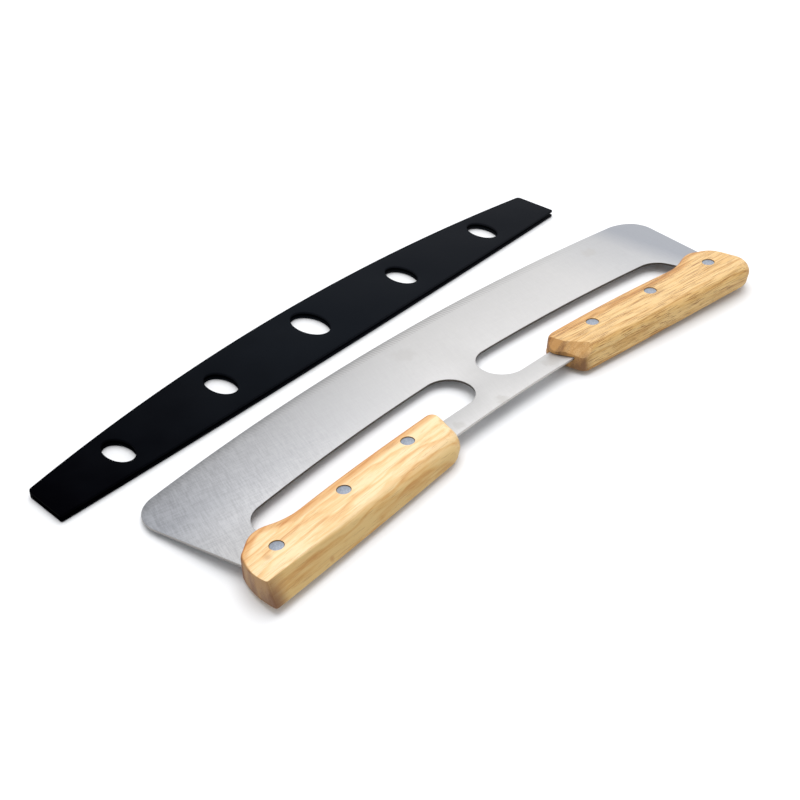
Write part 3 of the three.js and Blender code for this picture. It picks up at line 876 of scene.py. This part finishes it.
def steel_material():
    """Satin sheet: fine crossing scratches, a band of grinding lines along the edge, dark cut walls."""
    n = Nodes("ground_steel")
    own = n.own()
    x, y, _ = n.split(own)
    leftward = n.times(x, -1 / TOE_HALF_LENGTH)
    sideways = n.math("MULTIPLY_ADD", x, 0.5 / TOE_HALF_LENGTH, 0.5)
    backward = n.times(y, -1 / BACK_REACH)
    lines, band = grinding(n, x, y, sideways)
    brushed = [n.times(n.drawn_out(own, **way, **SCRATCH_GRADE), share) for way, share in SCRATCHES]
    tone = n.swing(n.plus(*brushed), n.ramp(leftward, *SCRATCH_WEAR))
    base = n.ramp(n.plus(tone, 0.5), (0.34, STEEL_DARK), (0.66, STEEL_LIGHT))
    # painted shade: the steel's colour is darkened and cooled toward both ends of the blade
    painted_shade = n.times(n.ramp(sideways, *SHADE_LEFT), n.ramp(backward, *SHADE_BACKWARD))
    base = n.tinted(n.plus(painted_shade, n.ramp(sideways, *SHADE_RIGHT)), base, SHADE_TINT)
    wobble = n.swing(n.noise(own, **SMUDGE_WOBBLE), SMUDGE_RAGGED)
    for at, size, share in SMUDGES:
        reach = n.plus(n.over(n.gap(own, at), size), wobble)
        base = n.mix(n.times(n.ramp(reach, *SMUDGE_FADE), share), base, SMUDGE_TONE)
    base = n.mix(n.times(band, GRIND_SHARE), base, n.mix(lines, GRIND_DARK, STEEL_LIGHT))
    wall = n.mix(n.noise(own, **WALL_MOTTLE), WALL_DARK, WALL_LIGHT)
    # painted highlight: the walls are painted bright toward the outer ends and along the tang's back
    outer = n.ramp(n.math("ABSOLUTE", n.over(x, TOE_HALF_LENGTH)), *HIGHLIGHT_AT_ENDS)
    wall = n.mix(n.math("MAXIMUM", outer, n.ramp(backward, *HIGHLIGHT_AT_BACK)), wall, WALL_HIGHLIGHT)
    flat = n.ramp(n.math("ABSOLUTE", n.split(n.facing("True Normal"))[2]), *WALL_TO_FLAT)
    base = n.mix(flat, wall, base)
    rough = n.plus(STEEL_ROUGH, n.times(n.noise(own, **STEEL_CLOUD), 0.08))
    rough = n.plus(rough, n.times(tone, 0.30))
    height = n.plus(n.times(tone, 0.6), n.times(n.times(lines, band), 0.35))
    return n.set(Base_Color=base, Metallic=1.0, Roughness=rough, Normal=n.bump(height, STEEL_BUMP, 0.5))


# ---- rivets ----
RIVET_DARK = (0.19, 0.215, 0.26)
RIVET_LIGHT = (0.29, 0.315, 0.36)
RIVET_PITS = {"scale": 1.6, "detail": 4, "rough": 0.65}
RIVET_CLOUD = {"scale": 0.35, "detail": 2, "rough": 0.5}
RIVET_ROUGH = 0.42
RIVET_BUMP = 0.00006


def rivet_material():
    """Tumbled rivet heads, bluish grey and finely pitted."""
    n = Nodes("rivet_steel")
    own = n.own()
    pits = n.noise(own, **RIVET_PITS)
    base = n.ramp(pits, (0.32, RIVET_DARK), (0.66, RIVET_LIGHT))
    rough = n.plus(RIVET_ROUGH, n.times(n.noise(own, **RIVET_CLOUD), 0.2))
    return n.set(Base_Color=base, Metallic=1.0, Roughness=rough, Normal=n.bump(pits, RIVET_BUMP, 0.6))


# ---- wood ----
# front is the side toward the blade and back the side away from it, which lies in shade; both, and crest, are
# tints, and the back tint is painted shade
# knots and dark corner: middle, size and strength
PALE_WOOD = {
    "pale": (0.76, 0.57, 0.335),
    "middle": (0.69, 0.45, 0.21),
    "deep": (0.565, 0.30, 0.115),
    "pore": (0.24, 0.10, 0.03),
    "knot": (0.33, 0.125, 0.022),
    "front": (0.78, 0.55, 0.30),
    "back": (0.69, 0.62, 0.36),
    # painted shade on the back, the side away from the light
    "crest": (0.72, 0.47, 0.20),
    "end": (0.29, 0.155, 0.055),
    "end_dark": (0.155, 0.065, 0.024),
    "streak_size": (0.045, 0.42, 0.42),
    "streak_share": 1.25,
    "fibre_share": 0.50,
    "wave": 30.0,
    "layer": 6.5,
    "layer_share": 0.38,
    "pore_from": 0.63,
    "pore_share": 0.45,
    "knots": (((-134.2, -97.0, -3.6), 2.0, 0.75), ((-157.3, -86.5, 6.0), 2.6, 0.4)),
    "dark_corner": ((-167.2, -101.6, 0.0), 6.5, 0.75),
}
TAN_WOOD = {
    "pale": (0.67, 0.45, 0.20),
    "middle": (0.565, 0.335, 0.115),
    "deep": (0.39, 0.195, 0.052),
    "pore": (0.22, 0.085, 0.014),
    "knot": (0.22, 0.085, 0.014),
    "front": (0.85, 0.68, 0.48),
    "back": (0.93, 0.94, 0.84),
    # painted shade on the back, the side away from the light
    "crest": (0.80, 0.62, 0.40),
    "end": (0.45, 0.225, 0.064),
    "end_dark": (0.16, 0.07, 0.022),
    "streak_size": (0.030, 0.62, 0.62),
    "streak_share": 1.3,
    "fibre_share": 0.55,
    "wave": 14.0,
    "layer": 4.2,
    "layer_share": 0.34,
    "pore_from": 0.555,
    "pore_share": 0.80,
    "knots": (),
    "dark_corner": ((41.7, -88.7, 0.0), 6.0, 0.6),
}
GRAIN_WANDER = {"size": (0.014, 0.05, 0.05), "detail": 3, "rough": 0.55}
STREAK_GRADE = {"detail": 4, "rough": 0.6, "distort": 0.8}
FIBRES = {"size": (0.07, 3.4, 3.4), "shift": (5, 3, 9), "detail": 3, "rough": 0.6}
PATCHES = {"size": (0.028, 0.12, 0.12), "shift": (40, 2, 5), "detail": 2, "rough": 0.5}
PATCH_SHARE = 0.8
PORES = {"size": (0.085, 3.6, 3.6), "shift": (1, 8, 2), "detail": 2, "rough": 0.5}
PORE_BLUR = 0.07
# growth layers run round a pith that lies behind and below the grip, and darken slowly, then end sharply
PITH_BEHIND = 118.0
PITH_BELOW = 24.0
LAYER_SQUASH = 1.1
LAYER_TONE = ((0.0, 0.1), (0.5, 0.3), (0.86, 1.0), (1.0, 0.1))
FRONT_FADE = ((0.08, 0.0), (0.5, 1.0))
SHADED_BACK_FADE = ((0.15, 0.0), (1.0, 1.0))
FACE_SHARE = 0.9
# end grain: where the surface faces left or right, and on the back just before the outer end
END_LEFT = ((0.28, 0.0), (0.62, 1.0))
END_RIGHT = ((0.6, 0.0), (0.95, 0.7))
END_CLOSE = ((0.88, 0.0), (0.925, 1.0))
END_CLOSE_SHARE = 0.8
END_BANDS = {"detail": 3, "rough": 0.55}
END_SPECK = {"scale": 2.2, "detail": 4, "rough": 0.7}
CREST_UNIT = 10.0
CREST_FADE = ((0.36, 1.0), (0.56, 0.0))
CREST_SHARE = 0.65
DARK_CORNER_FADE = ((0.1, 1.0), (0.9, 0.0))
KNOT_FADE = ((0.25, 1.0), (1.0, 0.0))
WOOD_ROUGH = 0.44
WOOD_GLOSS = 0.4
WOOD_BUMP = 0.00010


def wood_grain(n, along, streak, fibre, look):
    """Long grain: growth layers, streaks, fibres and soft patches, before the pores."""
    _, y, z = n.split(along)
    lift = n.swing(n.drawn_out(along, **GRAIN_WANDER), look["wave"])
    across = n.plus(n.plus(y, PITH_BEHIND), lift)
    depth = n.plus(n.times(z, LAYER_SQUASH), PITH_BELOW)
    layer = n.math("FRACT", n.over(n.hypot(across, depth), look["layer"]))
    tone = n.times(n.ramp(layer, *LAYER_TONE), look["layer_share"])
    patch = n.drawn_out(along, **PATCHES)
    for wave, share in ((streak, look["streak_share"]), (fibre, look["fibre_share"]), (patch, PATCH_SHARE)):
        tone = n.plus(tone, n.swing(wave, share))
    return n.ramp(tone, (0.0, look["pale"]), (0.30, look["middle"]), (0.62, look["deep"]))


def end_grain(n, own, along, look):
    """Rough dark end grain: soft bands and fine specks, darker toward the bottom as painted shade."""
    _, y, z = n.split(along)
    bands = n.noise(n.joined(0.0, n.times(y, 0.20), n.times(z, 0.05)), **END_BANDS)
    tone = n.plus(n.times(bands, 0.7), n.times(n.noise(own, **END_SPECK), 0.3))
    # painted shade: the end grain darkens toward the bottom
    tone = n.plus(tone, n.times(z, 0.014))
    return n.ramp(tone, (0.42, look["end_dark"]), (0.57, look["end"]))


def crest(n, u, y, side):
    """A band along the top edge that faces the blade, where the saw mark was sanded off."""
    front = sorted(corner[:2] for corner in GRIP_CORNERS[side][2:])
    line = n.ramp(u, *[(at / GRIP_REACH, 1 + front_y / GRIP_REACH) for at, front_y in front])
    from_line = n.minus(line, n.math("MULTIPLY_ADD", y, 1 / GRIP_REACH, 1.0))
    return n.ramp(n.times(from_line, GRIP_REACH / CREST_UNIT), *CREST_FADE)


def wood_material(name, side, seed, look):
    """Straight-grained hardwood: wavy growth layers, fibre streaks, short pores, darker worked ends."""
    n = Nodes(name)
    own = n.own()
    x, y, z = n.split(own)
    turn = GRAIN_ANGLE if side == "right" else -GRAIN_ANGLE
    along = n.mapped(own, turn, shift=(seed, 0, 0))
    streak = n.drawn_out(along, look["streak_size"], **STREAK_GRADE)
    fibre = n.drawn_out(along, **FIBRES)
    pore_from = look["pore_from"]
    pores = n.ramp(n.drawn_out(along, **PORES), (pore_from, 0.0), (pore_from + PORE_BLUR, 1.0))
    colour = wood_grain(n, along, streak, fibre, look)
    colour = n.mix(n.times(pores, look["pore_share"]), colour, look["pore"])
    # the side toward the blade is richer, and the back is duller and darker as painted shade
    toward_x, toward_y, _ = n.split(n.mapped(n.facing(), turn))
    front = n.ramp(toward_y, *FRONT_FADE)
    back = n.ramp(n.times(toward_y, -1.0), *SHADED_BACK_FADE)
    colour = n.tinted(n.times(front, FACE_SHARE), colour, look["front"])
    colour = n.tinted(n.times(back, FACE_SHARE), colour, look["back"])
    # the ends show end grain, which creeps round onto the back at the outer end
    ends = n.math("MAXIMUM", n.ramp(n.times(toward_x, -1.0), *END_LEFT), n.ramp(toward_x, *END_RIGHT))
    u = n.over(n.math("ABSOLUTE", x), GRIP_REACH)
    creeping = n.times(n.times(back, END_CLOSE_SHARE), n.ramp(u, *END_CLOSE))
    ends = n.math("MAXIMUM", n.times(ends, FACE_SHARE), creeping)
    colour = n.mix(ends, colour, end_grain(n, own, along, look))
    colour = n.tinted(n.times(crest(n, u, y, side), CREST_SHARE), colour, look["crest"])
    # a dark patch down one upright edge, narrower toward the top
    at, size, share = look["dark_corner"]
    reach = n.plus(n.over(n.gap(n.joined(x, y, 0.0), at), size), n.times(z, 0.03))
    colour = n.mix(n.times(n.ramp(reach, *DARK_CORNER_FADE), share), colour, look["end_dark"])
    for at, size, share in look["knots"]:
        knot = n.ramp(n.over(n.gap(own, at), size), *KNOT_FADE)
        colour = n.mix(n.times(knot, share), colour, look["knot"])
    rough = n.plus(WOOD_ROUGH, n.times(streak, 0.16))
    height = n.minus(n.times(fibre, 0.5), n.times(pores, 0.9))
    normal = n.bump(n.plus(height, n.times(streak, 0.7)), WOOD_BUMP, 0.6)
    return n.set(Base_Color=colour, Roughness=rough, Specular_IOR_Level=WOOD_GLOSS, Normal=normal)


# ---- plastic, darkest at its left end, with a painted sheen that lightens it toward the right ----
PLASTIC_SHEEN_LEFT = (0.0002, 0.0002, 0.0008)
PLASTIC_SHEEN_MIDDLE = (0.0057, 0.0071, 0.0096)
PLASTIC_SHEEN_RIGHT = (0.0104, 0.0114, 0.0140)
PLASTIC_GRAIN = {"scale": 2.4, "detail": 3, "rough": 0.6}
PLASTIC_CLOUD = {"scale": 0.03, "detail": 3, "rough": 0.55}
PLASTIC_CLOUD_SHARE = 0.2
PLASTIC_ROUGH = 0.42
PLASTIC_GLOSS = 0.004
PLASTIC_BUMP = 0.00003


def plastic_material():
    """Moulded black sheath, faintly grained, with a slightly uneven sheen, and a painted sheen that lightens
    its colour toward the right end.
    """
    n = Nodes("black_plastic")
    own = n.own()
    grain = n.noise(own, **PLASTIC_GRAIN)
    cloud = n.noise(own, **PLASTIC_CLOUD)
    # painted sheen: the colour rises from the left end to the right
    sideways = n.plus(n.over(n.split(own)[0], 2 * GUARD_HALF_LENGTH), 0.5)
    tone = n.plus(n.times(sideways, 1 - PLASTIC_CLOUD_SHARE), n.times(cloud, PLASTIC_CLOUD_SHARE))
    base = n.ramp(tone, (0.12, PLASTIC_SHEEN_LEFT), (0.5, PLASTIC_SHEEN_MIDDLE), (0.9, PLASTIC_SHEEN_RIGHT))
    rough = n.plus(PLASTIC_ROUGH, n.times(cloud, 0.10))
    rough = n.plus(rough, n.times(grain, 0.06))
    normal = n.bump(grain, PLASTIC_BUMP, 0.4)
    return n.set(Base_Color=base, Roughness=rough, Specular_IOR_Level=PLASTIC_GLOSS, Normal=normal)


# ---------------------------------------------------------------- stage, light and camera
TABLE_HALF = 6.0
TABLE_DROP = 0.0002
TABLE_DARK = (0.785, 0.792, 0.808)
TABLE_LIGHT = (0.795, 0.802, 0.818)
WORLD_STRENGTH = 0.75
CAMERA_AZIMUTH = -45.6587
CAMERA_ELEVATION = 37.3344
CAMERA_ROLL = 0.0645
CAMERA_DISTANCE = 0.656814
CAMERA_LENS = 62.912
CAMERA_AIM = (-34.209, -38.364)  # millimetres from the middle of the cutting edge


def make_stage():
    n = Nodes("table")
    spot = n.tree.nodes.new("ShaderNodeTexCoord").outputs["Object"]
    tone = n.noise(spot, scale=3.0, detail=2, rough=0.5)
    base = n.ramp(tone, (0.3, TABLE_DARK), (0.7, TABLE_LIGHT))
    n.set(Base_Color=base, Roughness=0.75, Specular_IOR_Level=0.2)
    mesh = bpy.data.meshes.new("table")
    corners = [(TABLE_HALF * x, TABLE_HALF * y, 0) for x, y in ((-1, -1), (1, -1), (1, 1), (-1, 1))]
    mesh.from_pydata(corners, [], [(0, 1, 2, 3)])
    mesh.materials.append(n.material)
    table = bpy.data.objects.new("table", mesh)
    table.location.z = -TABLE_DROP
    bpy.context.scene.collection.objects.link(table)


def direction(azimuth, elevation):
    """From the object toward a camera or light."""
    a, e = math.radians(azimuth), math.radians(elevation)
    return Vector((math.sin(a) * math.cos(e), -math.cos(a) * math.cos(e), math.sin(e)))


def area_light(name, azimuth, elevation, distance, size, power):
    light = bpy.data.lights.new(name, "AREA")
    light.shape = "SQUARE"
    light.size = size
    light.energy = power
    obj = bpy.data.objects.new(name, light)
    back = direction(azimuth, elevation)
    obj.location = back * distance
    obj.rotation_euler = (-back).to_track_quat("-Z", "Y").to_euler()
    bpy.context.scene.collection.objects.link(obj)


def make_light():
    world = bpy.data.worlds.new("studio")
    world.use_nodes = True
    background = world.node_tree.nodes["Background"]
    background.inputs["Color"].default_value = (1.0, 1.0, 1.0, 1)
    background.inputs["Strength"].default_value = WORLD_STRENGTH
    bpy.context.scene.world = world
    area_light("overhead", azimuth=150, elevation=80, distance=1.8, size=1.7, power=27)
    area_light("back", azimuth=116, elevation=25, distance=2.0, size=2.4, power=18.5)
    bpy.context.scene.view_settings.view_transform = "Standard"


def make_camera():
    edge = KNIFE @ Vector((0, 0, 0))
    target = Vector((edge.x + CAMERA_AIM[0] * MM, edge.y + CAMERA_AIM[1] * MM, 0))
    camera = bpy.data.cameras.new("camera")
    camera.sensor_width = 36
    camera.lens = CAMERA_LENS
    camera.clip_start = 0.02
    camera.clip_end = 20
    obj = bpy.data.objects.new("camera", camera)
    back = direction(CAMERA_AZIMUTH, CAMERA_ELEVATION)
    obj.location = target + back * CAMERA_DISTANCE
    obj.rotation_mode = "QUATERNION"
    roll = Quaternion((0, 0, 1), math.radians(CAMERA_ROLL))
    obj.rotation_quaternion = (-back).to_track_quat("-Z", "Y") @ roll
    bpy.context.scene.collection.objects.link(obj)
    bpy.context.scene.camera = obj


make_camera()
make_light()
make_stage()
make_blade(steel_material())
pale_wood = wood_material("wood_pale", "left", 0.0, PALE_WOOD)
tan_wood = wood_material("wood_tan", "right", 173.0, TAN_WOOD)
make_grip("left", pale_wood, "wood_pale")
make_grip("right", tan_wood, "wood_tan")
make_rivets(rivet_material())
make_guard(plastic_material())
